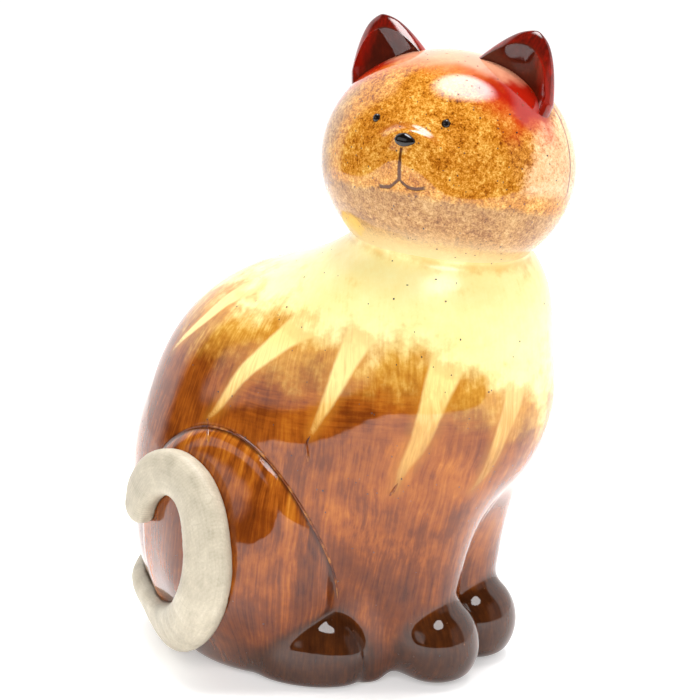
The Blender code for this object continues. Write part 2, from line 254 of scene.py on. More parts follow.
# The head sits in the open neck, so its shape is needed to trim the cast. In the head's own
# directions -Y is its face and +X its left.
HEAD_CENTRE = np.array((-2, -53, 198.0))
HEAD_FRAME = turned(-12, 4, -87)        # nose lifted, tilted, turned to the cat's right
HEAD_RADII = (48.5, 41, 42)
MUZZLE, MUZZLE_RISE, MUZZLE_SPREAD = np.array((1, 3)), 3.6, 8.5     # middle in X and Z, height, spread
BRIDGE_RISE, BRIDGE_HALF_WIDTH = 2.3, 11.5      # the step across the top of the muzzle
BRIDGE_TOP, BRIDGE_ARCH, BRIDGE_EDGE, BRIDGE_FADE = 11.0, 0.028, 0.62, 6


def on_head(points):
    return (points - HEAD_CENTRE) @ HEAD_FRAME


def head_shape(points):
    local = on_head(points)
    off_nose = ((local[:, (0, 2)] - MUZZLE) ** 2).sum(axis=1)
    rise = MUZZLE_RISE * np.exp(-off_nose / (2 * MUZZLE_SPREAD ** 2))
    below = BRIDGE_TOP - BRIDGE_ARCH * (local[:, 0] - 2) ** 2 - local[:, 2]
    step = 1 / (1 + np.exp(-np.clip(below / BRIDGE_EDGE, -30, 30)))
    step = step * np.exp(-np.clip(below, 0, None) / BRIDGE_FADE)
    rise += BRIDGE_RISE * step * np.exp(-(np.abs(local[:, 0] - 5) / BRIDGE_HALF_WIDTH) ** 4)
    return egg(local, (0, 0, 0), HEAD_RADII) - rise * (local[:, 1] < 0)


def blown(name, centre, shape, subdivisions, reach=80, finer_towards=(0, 0, 0)):
    """A ball whose surface is pushed out along its own rays until it meets the shape."""
    bm = bmesh.new()
    bmesh.ops.create_icosphere(bm, subdivisions=subdivisions, radius=1)
    mesh = as_mesh(name, bm)
    rays = np.array([vertex.co for vertex in mesh.vertices]) + np.array(finer_towards)
    rays /= np.linalg.norm(rays, axis=1, keepdims=True)
    near, far = np.zeros(len(rays)), np.full(len(rays), float(reach))
    for _ in range(40):
        half = (near + far) / 2
        inside = shape(np.array(centre) + rays * half[:, None]) < 0
        near, far = np.where(inside, half, near), np.where(inside, far, half)
    set_points(mesh, np.array(centre) + rays * near[:, None])
    return mesh


def plug(name, centre, radius, depth):
    bm = bmesh.new()
    middle = Matrix.Translation((np.array(centre) - BOX_MIDDLE) * MM)
    bmesh.ops.create_cone(bm, cap_ends=True, segments=96, radius1=radius * MM, radius2=radius * MM,
                          depth=depth * MM, matrix=middle)
    return as_mesh(name, bm)


def smooth(mesh, crease_angle=CREASE_ANGLE):
    mesh.shade_smooth()
    mesh.set_sharp_from_angle(angle=np.radians(crease_angle))


def smooth_line(marks, steps):
    """Catmull-Rom curve through rows of numbers."""
    marks = np.array(marks, float)
    rows = np.vstack((2 * marks[0] - marks[1], marks, 2 * marks[-1] - marks[-2]))
    line = []
    for a, b, c, d in zip(rows, rows[1:], rows[2:], rows[3:]):
        for t in np.arange(steps) / steps:
            line.append(0.5 * (2 * b + (c - a) * t + (2 * a - 5 * b + 4 * c - d) * t ** 2
                               + (3 * b - 3 * c + d - a) * t ** 3))
    return np.array(line + [marks[-1]])


NECK_FILLET, NECK_STEP = 3.5, 0.35               # slip wiped into the joint, and the crease left over it


def body_with_fillet(points):
    return melt(body_shape(points), head_shape(points) + NECK_STEP, NECK_FILLET)


body_balls = [(centre, radii, turned(lean, 0, 0)) for centre, radii, lean, _ in BODY_LUMPS]
inner_balls = [(centre, np.array(radii) - WALL, turn) for centre, radii, turn in body_balls]
body_balls.append((HEAD_CENTRE, (40, 40, 40), np.eye(3)))
for side in (-1, 1):
    for height, radius in ((70, 20), (48, 17), (28, 15)):
        body_balls.append(((side * LEG[0][0], -47, height), (radius, radius, 22), np.eye(3)))
    for centre, radii, _ in (FRONT_PAW, SHIN, HIND_PAW):
        body_balls.append(((side * centre[0], *centre[1:]), radii, np.eye(3)))
body_mesh = modelled("body_glazed", body_balls, body_with_fillet, BODY_GRAIN)
hollow = modelled("hollow", inner_balls, lambda p: trim(lumps_only(p), -p[:, 2], FOOT_EDGE) + WALL,
                  HOLLOW_GRAIN)
head_seat = blown("head_seat", HEAD_CENTRE, lambda p: head_shape(p) + SLIP_OVERLAP, 7)
vent = plug("vent", (0, 10, 5), VENT_RADIUS, 30)
body_mesh = cut_from(body_mesh, hollow, vent, head_seat)
smooth(body_mesh)

# Colour is brushed on before the clear glaze: a pale yellow cape round the neck, five yellow
# streaks drawn down each side, brown over the rest and near-black paws. Each area's edge is kept
# on the mesh as a distance in mm, so the brush can be feathered across it.
STREAKS = (                                      # along each streak: X, Y, Z, half width
    ((-24, 5, 154, 6.5), (-31, 23.5, 143.8, 3.8), (-36, 34, 134.4, 2.3), (-36, 48, 121, 0.2)),
    ((-40.8, -27, 149, 9.5), (-46.6, -12.6, 138.5, 5.4), (-50, -3.6, 130.2, 3.9), (-52.2, 5.6, 121.2, 2.8),
     (-54.7, 15.2, 107.3, 1.2), (-55, 19.7, 102.4, 0.1)),
    ((-44.1, -43.9, 146.8, 7.0), (-49.2, -37.6, 132.1, 4.4), (-53.6, -33, 118.5, 2.6),
     (-57, -26.4, 103.5, 0.4)),
    ((-34.5, -75.5, 142, 7.8), (-40.3, -70.4, 123, 5.2), (-43.6, -64.4, 103, 3.3), (-44.7, -58.4, 91.5, 1.7),
     (-44.6, -54.9, 83.1, 0.1)),
    ((-11.9, -90, 135.4, 6.0), (-17.1, -89.3, 116, 4.2), (-21.4, -86.8, 103.3, 3.0),
     (-22.3, -81.2, 88.9, 1.8), (-24.2, -76.1, 80.9, 0.1)),
)
CAPE_EDGE = (                                    # degrees round the neck from the front, height in mm
    (0, 113), (5, 114), (20, 121), (36, 129), (48, 136), (61, 140), (84, 139), (97, 138), (106, 138),
    (123, 146), (141, 142), (155, 149), (180, 153),
)
CAPE_MIDDLE = np.array((0, -30, 0))


def streak_distance(points):
    near = np.full(len(points), 1e3)
    for streak in STREAKS:
        line = smooth_line(streak, 5)
        for a, b in zip(line, line[1:]):
            along = b[:3] - a[:3]
            part = np.clip((points - a[:3]) @ along / (along @ along), 0, 1)
            away = np.linalg.norm(points - a[:3] - part[:, None] * along, axis=1)
            near = np.minimum(near, away - a[3] - (b[3] - a[3]) * part)
    return near


def below_cape(points):
    round_neck = np.degrees(np.arctan2(np.abs(points[:, 0]), CAPE_MIDDLE[1] - points[:, 1]))
    return np.interp(round_neck, *np.array(CAPE_EDGE, float).T) - points[:, 2]


def on_mesh(mesh, name, values):
    kind, slot = ("FLOAT_VECTOR", "vector") if np.ndim(values) == 2 else ("FLOAT", "value")
    stored = mesh.attributes.new(name, kind, "POINT")
    stored.data.foreach_set(slot, np.ravel(values).astype(np.float32))


points = points_of(body_mesh)
right_half = np.column_stack((-np.abs(points[:, 0]), points[:, 1:]))
left_half = paired(points)
paw_distance = np.minimum(egg(left_half, *FRONT_PAW[:2]), egg(left_half, *HIND_PAW[:2], turned(0, 0, -8)))
on_mesh(body_mesh, "streak", streak_distance(right_half))
on_mesh(body_mesh, "cape", below_cape(points))
on_mesh(body_mesh, "haunch", np.where(np.abs(points[:, 0]) > 20, haunch_outline(points), 40))
on_mesh(body_mesh, "paw", paw_distance)
on_mesh(body_mesh, "neck", head_shape(points))
on_mesh(body_mesh, "bare", ((body_with_fillet(points) < -0.9) | (points[:, 2] < 0.15)).astype(float))


def from_hex(text):
    """An sRGB hex colour as linear RGBA."""
    parts = [int(text[i:i + 2], 16) / 255 for i in (0, 2, 4)]
    return (*[c / 12.92 if c <= 0.04045 else ((c + 0.055) / 1.055) ** 2.4 for c in parts], 1)


MODES = {"Math": "operation", "VectorMath": "operation", "Mix": "data_type", "MapRange": "interpolation_type"}
EASE = "MapRange SMOOTHSTEP"                     # eases from one value to another over a range


def add(kind, *values, stops=(), **settings):
    """Adds one node to the tree in hand. Its kind may end in its mode, values feed its open inputs in
    order or, in a dict, by name, a node stands for its first open output, and stops are for a ramp."""
    kind, _, mode = kind.partition(" ")
    made = tree.nodes.new(kind if "Node" in kind else "ShaderNode" + kind)
    if mode:
        setattr(made, MODES[kind], mode)
    for name, value in settings.items():
        setattr(made, name, value)
    if values and isinstance(values[0], dict):
        feeds = [(made.inputs[name], value) for name, value in values[0].items()]
    else:
        feeds = zip([socket for socket in made.inputs if socket.enabled], values)
    for socket, value in feeds:
        if isinstance(value, bpy.types.Node):
            value = next(output for output in value.outputs if output.enabled)
        if isinstance(value, bpy.types.NodeSocket):
            tree.links.new(value, socket)
        else:
            is_hex = socket.type == "RGBA" and isinstance(value, str)
            socket.default_value = from_hex(value) if is_hex else value
    if stops:
        elements = made.color_ramp.elements
        elements.remove(elements[1])
        for index, (place, colour) in enumerate(stops):
            stop = elements.new(place) if index else elements[0]
            stop.position, stop.color = place, from_hex(colour)
    return made


def new_material(name):
    material = bpy.data.materials.new(name)
    material.use_nodes = True
    material.node_tree.nodes.clear()
    return material, material.node_tree


def sums(total, *terms):
    """A total plus each term times its weight."""
    for term, weight in terms:
        total = add("Math MULTIPLY_ADD", term, weight, total)
    return total


def product(total, *factors):
    for factor in factors:
        total = add("Math MULTIPLY", total, factor)
    return total


def coats(colour, *layers):
    """A colour with others brushed over it in turn, each as strongly as its amount."""
    for amount, paint in layers:
        colour = add("Mix RGBA", amount, colour, paint)
    return colour


def mottle(where, size, detail, rough):
    """Blotches about zero, with features of a size in mm."""
    noise = add("TexNoise", {"Vector": where, "Scale": 1 / size, "Detail": detail, "Roughness": rough})
    return add("Math SUBTRACT", noise, 0.5)


def fired(colour, rough, ripple=None, depth=0.001, ior=1.5):
    """The surface as it leaves the kiln. Its ripple, times a depth in metres, is drawn as relief."""
    relief = {"Normal": add("Bump", {"Height": ripple, "Distance": depth, "Strength": 1.0})} if ripple else {}
    shader = add("BsdfPrincipled", {"Base Color": colour, "Roughness": rough, "IOR": ior, **relief})
    add("OutputMaterial", {"Surface": shader})


# Clear gloss glaze over brushed iron-brown underglaze. The bristles leave marks about 3 mm apart
# with finer lines between: round the flank under the cape, and down the back, haunches and legs.
# The glaze reflects at an index of about 1.5 and ripples a few hundredths of a mm over 8 mm.
BRUSHED_ROUND, BRUSH_LEAN = np.array((0, 8, 0)), 0.1     # axis that the brush follows round the body
body_glaze, tree = new_material("clear_gloss_glaze_over_brushed_brown")
place = add("TexCoord").outputs["Object"]
mm = add("VectorMath SCALE", place, 1000.0)
spot = add("SeparateXYZ", mm).outputs
height = spot["Z"]
upright = add("CombineXYZ", spot["X"], sums(spot["Y"], (height, BRUSH_LEAN)))
flat = add("VectorMath SUBTRACT", upright, tuple(BRUSHED_ROUND - BOX_MIDDLE))
around = add("VectorMath SCALE", add("VectorMath NORMALIZE", flat), 50.0)
waver = add("TexNoise", {"Vector": mm, "Scale": 1 / 24, "Detail": 1.0})
waver = add("VectorMath SCALE", waver.outputs["Color"], 3.0)
down_stroke = add("VectorMath MULTIPLY_ADD", mm, (0, 0, 0.05), around)
down_stroke = add("VectorMath ADD", down_stroke, waver)
cross_stroke = add("VectorMath MULTIPLY_ADD", mm, (0.07, 0.07, 1), waver)
down_marks = mottle(down_stroke, 0.85, 3, 0.65)
cross_marks = mottle(cross_stroke, 1.15, 3, 0.6)
broad_down = mottle(down_stroke, 3.6, 2, 0.5)
blotch = mottle(mm, 17, 2, 0.5)
cloudy = mottle(mm, 4, 4, 0.65)
cape, streak, haunch, paw, neck, bare = (add("Attribute", attribute_name=name).outputs["Fac"]
                                         for name in ("cape", "streak", "haunch", "paw", "neck", "bare"))

flank = product(add(EASE, height, 98, 110, 0, 0.7), add(EASE, cape, 5, 16), add(EASE, spot["Y"], 24, 12),
                add(EASE, haunch, -1, 2))
marks = add("Mix FLOAT", flank, down_marks, cross_marks)
tone = sums(0.44, (marks, 0.75), (broad_down, 0.35), (blotch, 0.7), (cloudy, 0.35))
inside_line = product(add(EASE, haunch, -16, -3), add(EASE, haunch, 0.5, -0.5))
tone = sums(tone, (product(inside_line, mottle(down_stroke, 3.2, 3, 0.6)), 1.8), (inside_line, 0.1))
tone = sums(tone, (add(EASE, height, 90, 25), -0.22), (add(EASE, spot["Y"], 20, 60), -0.1))
brown = add("ValToRGB", tone, stops=((0.0, "502106"), (0.28, "75360b"), (0.5, "9a4f13"), (0.72, "b6691c"),
                                     (1.0, "d8963a")))

smoky = mottle(mm, 10, 3, 0.55)
feather = sums(cape, (down_marks, -3.5), (cloudy, -8.0), (smoky, -22.0), (blotch, -12.0))
amber = add("ValToRGB", sums(0.5, (down_marks, 0.8), (cloudy, 1.0), (smoky, 0.6)),
            stops=((0.1, "b5701f"), (0.5, "cf9436"), (0.9, "e6bf62")))
colour = coats(brown, (add(EASE, feather, 27, 2), amber))
yellow = add("ValToRGB", sums(0.5, (cloudy, 0.7), (blotch, 0.9), (down_marks, 0.25)),
             stops=((0.1, "f3cf74"), (0.4, "fdea9c"), (0.8, "fff3ae")))
colour = coats(colour, (add(EASE, feather, 7, -8), yellow))
under_chin = sums(neck, (cloudy, 9.0), (blotch, 12.0))
colour = coats(colour, (add(EASE, under_chin, 5, -1, 0, 0.55), "dba552"))

ragged = sums(streak, (down_marks, 1.3), (cloudy, 0.9))
below = add(EASE, feather, -6, 6)
colour = coats(colour, (product(add(EASE, ragged, 4.5, 0, 0, 0.4), below), "bf7a26"))
streak_yellow = add("ValToRGB", sums(0.6, (down_marks, 0.6), (add(EASE, height, 130, 100), -0.35),
                                     (add(EASE, height, 104, 84), -0.2)),
                    stops=((0.0, "a86f28"), (0.3, "d6a455"), (0.6, "f6dc8c")))
colour = coats(colour, (product(add(EASE, ragged, 0.9, -0.7), below), streak_yellow))

dark = add("ValToRGB", sums(0.5, (down_marks, 0.8), (cloudy, 0.6)),
           stops=((0.1, "260e05"), (0.5, "40200c"), (0.95, "5f3010")))
dipped = sums(paw, (down_marks, 1.5), (blotch, 3.0))
colour = coats(colour, (add(EASE, dipped, 4.5, 0.3, 0, 0.97), dark),
               (add(EASE, sums(height, (blotch, 8.0)), 27, 3, 0, 0.8), dark))
# Painted shade: a dark line is drawn along the haunch's rim crease, fading out below 42 mm.
line = add("Math ABSOLUTE", sums(haunch, (cloudy, 0.8)))
low_down = add(EASE, height, 30, 42)
line = product(add(EASE, line, 1.1, 0.25), low_down)
colour = coats(colour, (product(line, 0.75), "2f1206"))
biscuit = add("ValToRGB", sums(0.5, (cloudy, 0.8)), stops=((0.2, "d9c8ab"), (0.8, "ece0ca")))
colour = coats(colour, (bare, biscuit))

ripple = sums(0.0, (mottle(mm, 8, 1, 0.4), 0.07), (marks, 0.016), (line, -0.12))
rough = sums(add(EASE, feather, 6, -8, 0.045, 0.24), (bare, 0.6))
fired(colour, rough, ripple)
body_mesh.materials.append(body_glaze)
body_piece = add_piece("body_glazed", body_mesh)
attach(body_piece, "root")
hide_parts("body_shell")

# ---- head: a second cast, turned to the right -----------------------------------------------
# A hollow ball of the same earthenware, stuck into the open neck with slip while both are damp.
# Amber underglaze is dabbed on with a natural sponge, the mouth is drawn with a liner brush, and
# red is sprayed round the ears.
MOUTH = ((-8.3, -10.9), (-6.6, -11.2), (-3.8, -10.7), (-1.2, -9.0), (0.3, -7.6), (0.8, -7.3), (1.5, -8.0),
         (3.8, -9.4), (6.4, -9.9), (9, -9.3), (11, -8.4))      # X and Z across the face
PHILTRUM_TOP, PHILTRUM_FOOT = 4.6, -7.5
EYES = ((-14.0, -37.3, 12.7), (13.0, -36.8, 14.7))
head_mesh = blown("head_glazed", HEAD_CENTRE, head_shape, 7, finer_towards=HEAD_FRAME @ (0.04, -0.5, 0))
head_hollow = blown("head_hollow", HEAD_CENTRE, lambda p: egg(on_head(p), (0, 0, 0), HEAD_RADII) + WALL, 5)
air_hole = plug("air_hole", (HEAD_CENTRE[0], HEAD_CENTRE[1], 155), AIR_HOLE_RADIUS, 30)
head_mesh = cut_from(head_mesh, head_hollow, air_hole)
smooth(head_mesh)
points = points_of(head_mesh)
face = on_head(points)
ear_foot = np.array(((9, -9, 40.0), (24, -13, 32), (38, -9, 20)))
folded = np.column_stack((np.abs(face[:, 0]), face[:, 1:]))
ear_distance = np.full(len(face), 1e3)
for a, b in zip(ear_foot, ear_foot[1:]):
    part = np.clip((folded - a) @ (b - a) / ((b - a) @ (b - a)), 0, 1)
    ear_distance = np.minimum(ear_distance, np.linalg.norm(folded - a - part[:, None] * (b - a), axis=1))
on_mesh(head_mesh, "face", face)
on_mesh(head_mesh, "ear_distance", ear_distance)
on_mesh(head_mesh, "bare", (egg(face, (0, 0, 0), HEAD_RADII) < -1.5).astype(float))

# Sponged underglaze leaves flecks of 1 to 3 mm, dense over the face and open towards the chin,
# with the cream body showing between. The clear glaze over it is as glossy as the body's.
head_glaze, tree = new_material("clear_gloss_glaze_over_sponged_amber")
face_place = add("Attribute", attribute_name="face").outputs["Vector"]
ear_distance, bare = (add("Attribute", attribute_name=name).outputs["Fac"]
                      for name in ("ear_distance", "bare"))
across, depth, up = add("SeparateXYZ", face_place).outputs
flecks = mottle(face_place, 1.5, 4, 0.68)
fine = mottle(face_place, 0.6, 2, 0.5)
drift = mottle(face_place, 11, 2, 0.5)
dabs = mottle(face_place, 4.2, 2, 0.55)
tone = sums(0.48, (flecks, 1.5), (fine, 1.0), (drift, 0.6), (dabs, 0.45))
sponge = add("ValToRGB", tone, stops=((0.0, "572a08"), (0.2, "9a530d"), (0.4, "c2781e"), (0.6, "d8953a"),
                                      (0.8, "e9b85c"), (1.0, "f3cf82")))
thin = add("ValToRGB", tone, stops=((0.0, "613817"), (0.25, "926030"), (0.5, "b58248"), (0.9, "dab072")))
fade = sums(up, (drift, 2.5), (dabs, 3.5), (flecks, 4.0))
# Painted reflection: the upper side of the head towards its left is washed pale pink, standing for the white
# wall seen in the glaze there.
cheek = sums(across, (drift, 8.0), (dabs, 5.0), (flecks, 4.0))
cheek = product(add(EASE, cheek, 38.5, 43), add(EASE, fade, -8, -2))
far_cheek = sums(across, (drift, 9.0), (dabs, 6.0), (flecks, 3.0), (add(EASE, up, -4, 24), -5.0))
colour = coats(sponge, (add(EASE, fade, -10.5, -13.5), thin), (add(EASE, far_cheek, -30, -36), thin))
sheen_pink = add("ValToRGB", tone, stops=((0.0, "b0703c"), (0.3, "dfa06a"), (0.55, "efc08c"), (1.0, "f8dcae")))
colour = coats(colour, (cheek, sheen_pink))
chin = add("ValToRGB", sums(0.5, (flecks, 0.5), (drift, 0.6)),
           stops=((0.1, "ecc78c"), (0.6, "f6dda6"), (1.0, "fbe9ba")))
colour = coats(colour, (add(EASE, fade, -23, -37), chin))
# Painted reflection: a deeper yellow patch low on the face's right side, where the glaze shows the dark room
# and none of the wall's pale sheen.
dark_room_patch = add("VectorMath DISTANCE", face_place, (-23, -24, -26))
dark_room_patch = sums(dark_room_patch, (flecks, 6.0), (dabs, 9.0))
colour = coats(colour, (add(EASE, dark_room_patch, 7, 4, 0, 0.7), "e9bb5c"),
               (add(EASE, depth, 4, 22, 0, 0.35), thin))
warm = sums(ear_distance, (drift, 8.0), (dabs, 5.0), (flecks, 2.5), (add(EASE, depth, -12, -4), 9.0),
            (add(EASE, across, 4, 14), -7.0), (add(EASE, across, 34, 41), 9.0))
colour = coats(colour, (add(EASE, warm, 16, 3, 0, 0.95), "bf3312"),
               (add(EASE, warm, 8, 1, 0, 0.9), "a01408"))
# Painted reflection: the top of the crown is washed pink, standing for the bright wall seen in its glaze.
# Below it, over the front, an orange band is brushed on.
crown_orange_and_sheen = sums(up, (drift, 7.0), (dabs, 4.0))
colour = coats(colour, (add(EASE, crown_orange_and_sheen, 31, 37, 0, 0.8), "e9a884"),
               (product(add(EASE, crown_orange_and_sheen, 28, 34), add(EASE, sums(depth, (drift, 6.0)), -17, -22, 0, 0.5)),
                "cf6a22"))
arc = sums(up, (product(sums(-1.0, (across, 1.0)), sums(-1.0, (across, 1.0))), 0.031), (dabs, 1.5))
arc = add("Math ABSOLUTE", sums(arc, (1.0, -12.2)))
arc = product(add(EASE, arc, 1.7, 0.4), add(EASE, across, -12.5, -9.5), add(EASE, across, 15, 10))
colour = coats(colour, (product(arc, sums(0.55, (flecks, 1.2))), "a5501c"))

for centre in EYES:                              # the black has run a little under each eye
    from_eye = add("VectorMath DISTANCE", face_place, centre)
    colour = coats(colour, (add(EASE, sums(from_eye, (fine, 0.6)), 1.95, 1.5), "120a06"))

mouth_curve = add("FloatCurve", {"Value": add("MapRange",
                                              {"Value": across, "From Min": -10.0, "From Max": 12.0})})
bends = mouth_curve.mapping.curves[0]
for index, (x, z) in enumerate(MOUTH):
    where = ((x + 10) / 22, (z + 12) / 12)
    if index in (0, len(MOUTH) - 1):
        bends.points[min(index, 1)].location = where
    else:
        bends.points.new(*where)
mouth_curve.mapping.update()
mouth_height = sums(-12.0, (mouth_curve, 12.0))
from_mouth = add("Math ABSOLUTE", add("Math SUBTRACT", up, mouth_height))
from_mouth = sums(from_mouth, (fine, 0.5))
mouth = product(add(EASE, from_mouth, 0.9, 0.45),
                product(add(EASE, across, -8.6, -7.4), add(EASE, across, 11, 9.4)))
philtrum_x = sums(0.85, (up, 0.02))
from_philtrum = add("Math ABSOLUTE", add("Math SUBTRACT", across, philtrum_x))
from_philtrum = sums(from_philtrum, (fine, 0.3), (add(EASE, up, 4, -4), -0.2))
philtrum = product(add(EASE, from_philtrum, 0.75, 0.3),
                   product(add(EASE, up, PHILTRUM_FOOT - 0.6, PHILTRUM_FOOT + 0.4),
                           add(EASE, up, PHILTRUM_TOP, PHILTRUM_TOP - 1)))
drawn = add("Math MAXIMUM", mouth, philtrum)
drawn = product(drawn, add(EASE, depth, -10, -20))
colour = coats(colour, (product(drawn, 0.92), "451904"))

# The mould's parting line, fettled flat, still shows as a fine brown line down each side.
parting = add("Math ABSOLUTE", sums(depth, (drift, 1.2)))
parting = product(add(EASE, parting, 0.8, 0.35), add(EASE, up, -6, -2))
colour = coats(colour, (product(parting, sums(0.8, (dabs, 1.2))), "6e300c"), (bare, "e4d6bc"))
ripple = sums(0.0, (mottle(face_place, 9, 1, 0.4), 0.045), (flecks, 0.01), (drawn, -0.12))
rough = add("MapRange", bare, 0, 1, 0.05, 0.85)
fired(colour, rough, ripple)
head_mesh.materials.append(head_glaze)
head_piece = add_piece("head_glazed", head_mesh)
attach(head_piece, "root")
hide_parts("head_shell")

# ---- ears: pressed, scooped and stuck on ----------------------------------------------------
# Each ear is a small thick leaf of clay, scooped out in front to a rim of 1.6 mm and wiped onto
# the head with slip. Iron red is brushed over it and near-black brown inside.
EARS = {                                         # side, middle of the root, half width, height, slant
    "ear_left": (1, (22.8, -8, 31), 18.4, 22.6, 0.07),
    "ear_right": (-1, (24, -8, 31), 17.0, 21.0, 0.22),
}
EAR_LEAN, EAR_HALF_DEPTH, EAR_ROOT_DEPTH, EAR_POINT = turned(-6, 13, 0), 8.0, 9.0, 0.54
EAR_HOLLOW_FORWARD, EAR_RIM = 6.5, 1.6


def ear_shape(local, half_width, height, slant):
    left = 1 - np.clip(local[:, 2] / height, 0, 0.999)
    slanted = local[:, 0] - slant * np.clip(local[:, 2], 0, None)
    across = np.hypot(slanted / (half_width * left ** EAR_POINT),
                      local[:, 1] / (EAR_HALF_DEPTH * left ** 0.8 + 0.6))
    side = trim((across - 1) * EAR_HALF_DEPTH * 0.8, -local[:, 2] - EAR_ROOT_DEPTH, 2)
    return trim(side, (local[:, 2] - height) * 0.8, 3)


def ear_scoop(local, half_width, height, slant):
    forward = local - np.array((0, -EAR_HOLLOW_FORWARD, EAR_RIM))
    return ear_shape(forward, half_width - EAR_RIM, height - 2.5 * EAR_RIM, slant)


# Deep red glaze, thick in the scoop, where it turns nearly black, and thin on the rim.
ear_glaze, tree = new_material("clear_gloss_glaze_over_iron_red")
ear_place = add("Attribute", attribute_name="ear").outputs["Vector"]
scoop = add("Attribute", attribute_name="scoop").outputs["Fac"]
ear_across, _, ear_up = add("SeparateXYZ", ear_place).outputs
cloudy = mottle(ear_place, 6, 3, 0.6)
stroke = add("VectorMath MULTIPLY", ear_place, (1, 1, 0.12))
strokes = mottle(stroke, 1.4, 3, 0.6)
red = add("ValToRGB", sums(0.45, (cloudy, 0.6), (strokes, 0.7), (add(EASE, ear_up, 4, 20), -0.35)),
          stops=((0.0, "4a0f07"), (0.3, "7c1408"), (0.55, "ab1c0b"), (0.9, "cf3a17")))
inner = add("ValToRGB", sums(0.5, (cloudy, 0.6), (strokes, 0.5)),
            stops=((0.1, "33100a"), (0.5, "4d180c"), (0.9, "6a210f")))
scooped = add(EASE, sums(scoop, (strokes, 0.7)), 1.3, 0.2)
outer_edge = sums(ear_across, (ear_up, 0.5), (strokes, 4.0))
inner = coats(inner, (add(EASE, outer_edge, 10.5, 16, 0, 0.85), "96180a"))
colour = coats(red, (scooped, inner))
lip = product(add(EASE, scoop, 2.6, 1.2), add(EASE, scoop, 0.2, 1.1))
colour = coats(colour, (product(lip, 0.5), "5a1a0c"))
ripple = sums(0.0, (mottle(ear_place, 6, 1, 0.4), 0.04), (strokes, 0.01))
fired(colour, 0.04, ripple)

head_rest = lambda p: head_shape(p) + SLIP_OVERLAP
for name, (side, root, half_width, tall, slant) in EARS.items():
    leaves = []
    for shape, middle in ((ear_shape, (0, 1, 0.25 * tall)),
                          (ear_scoop, (0, -EAR_HOLLOW_FORWARD, 0.3 * tall))):
        leaf = blown(name, middle, lambda p: shape(p, half_width, tall, slant), 6)
        points = points_of(leaf) @ EAR_LEAN.T + root
        points[:, 0] *= side
        set_points(leaf, points @ HEAD_FRAME.T + HEAD_CENTRE)
        if side < 0:
            leaf.flip_normals()
        leaves.append(leaf)
    ear_mesh = cut_from(leaves[0], leaves[1], blown("head_rest", HEAD_CENTRE, head_rest, 7))
    smooth(ear_mesh)
    local = on_head(points_of(ear_mesh))
    local[:, 0] *= side
    local = (local - root) @ EAR_LEAN
    on_mesh(ear_mesh, "ear", local)
    on_mesh(ear_mesh, "scoop", ear_scoop(local, half_width, tall, slant))
    ear_mesh.materials.append(ear_glaze)
    ear = add_piece(name + "_glazed", ear_mesh)
    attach(ear, "root")
    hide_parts(name)

# ---- eyes and nose: drops of black enamel ---------------------------------------------------
# Two small oval drops and one wide drop of thick black glaze, trailed on from a bulb and fired
# into low beads.
BEADS = {                                        # centre and radii in the head's directions
    "eye_right": (EYES[0], (1.4, 1.3, 1.65)), "eye_left": (EYES[1], (1.4, 1.3, 1.65)),
    "nose": ((1.5, -44.3, 6.8), (4.1, 1.8, 2.6)),
}
NOSE_POINT = 0.35                                # how far the nose tapers to its left end
enamel, tree = new_material("black_trailed_enamel")
place = add("TexCoord").outputs["Object"]
pooled = add("TexNoise", {"Vector": place, "Scale": 1 / 0.0016, "Detail": 3.0})
black = add("ValToRGB", pooled, stops=((0.3, "0a0706"), (0.6, "17100c"), (0.8, "2a1a12")))
fired(black, 0.12, pooled, depth=0.00003)
for name, (centre, radii) in BEADS.items():
    bead_mesh = blown(name, (0, 0, 0), lambda p: egg(p, (0, 0, 0), radii), 5, 8)
    points = points_of(bead_mesh)
    if name == "nose":
        points[:, 2] *= 1 - NOSE_POINT * np.clip(points[:, 0] / radii[0], 0, 1)
    set_points(bead_mesh, (points + centre) @ HEAD_FRAME.T + HEAD_CENTRE)
    smooth(bead_mesh)
    bead_mesh.materials.append(enamel)
    bead = add_piece(name + "_enamel", bead_mesh)
    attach(bead, "root")
    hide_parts(name)

# ---- tail: a rolled strap stuck on the flank ------------------------------------------------
# A flattened roll of cream slip-clay, curled up the right haunch and pressed a little way into
# it with a cloth. It is left without glaze, so it stays satin beside the glossy body.
TAIL_LINE = (
    (-9, 75, 21.5, 8.0), (-25, 68, 18.5, 8.8), (-38, 55, 15.5, 9.5), (-50, 41, 14, 10.0),
    (-63.5, 24.5, 22.5, 10.0), (-71, 13.5, 36, 10.0), (-72.5, 9.6, 49, 9.8), (-71.3, 10.7, 61, 9.6),
    (-69.3, 13.8, 71, 9.4), (-66.5, 20, 78.3, 9.2), (-63.5, 29.2, 81.5, 9.0), (-60.6, 39, 79, 8.6),
    (-58, 46.5, 71.5, 8.0), (-56, 50, 63.5, 7.0),
)
TAIL_HALF_THICKNESS, TAIL_SQUARENESS, TAIL_SINK, TAIL_GRAIN = 5.5, 2.6, 1.3, 0.8
TAIL = smooth_line(TAIL_LINE, 4)
TAIL_OUTWARD = slope_of(torso, TAIL[:, :3])[0]


def tail_shape(points):
    shape = np.full(len(points), 1e6)
    for here, there, lean, next_lean in zip(TAIL, TAIL[1:], TAIL_OUTWARD, TAIL_OUTWARD[1:]):
        along = there[:3] - here[:3]
        part = np.clip((points - here[:3]) @ along / (along @ along), 0, 1)
        away = points - here[:3] - part[:, None] * along
        outward = lean + (next_lean - lean) * part[:, None]
        height = (away * outward / np.linalg.norm(outward, axis=1, keepdims=True)).sum(axis=1)
        across = np.sqrt(np.maximum((away ** 2).sum(axis=1) - height ** 2, 0))
        half_width = here[3] + (there[3] - here[3]) * part
        oval = (across / half_width) ** TAIL_SQUARENESS
        oval = oval + (np.abs(height) / TAIL_HALF_THICKNESS) ** TAIL_SQUARENESS
        shape = np.minimum(shape, (oval ** (1 / TAIL_SQUARENESS) - 1) * TAIL_HALF_THICKNESS * 0.9)
    return shape


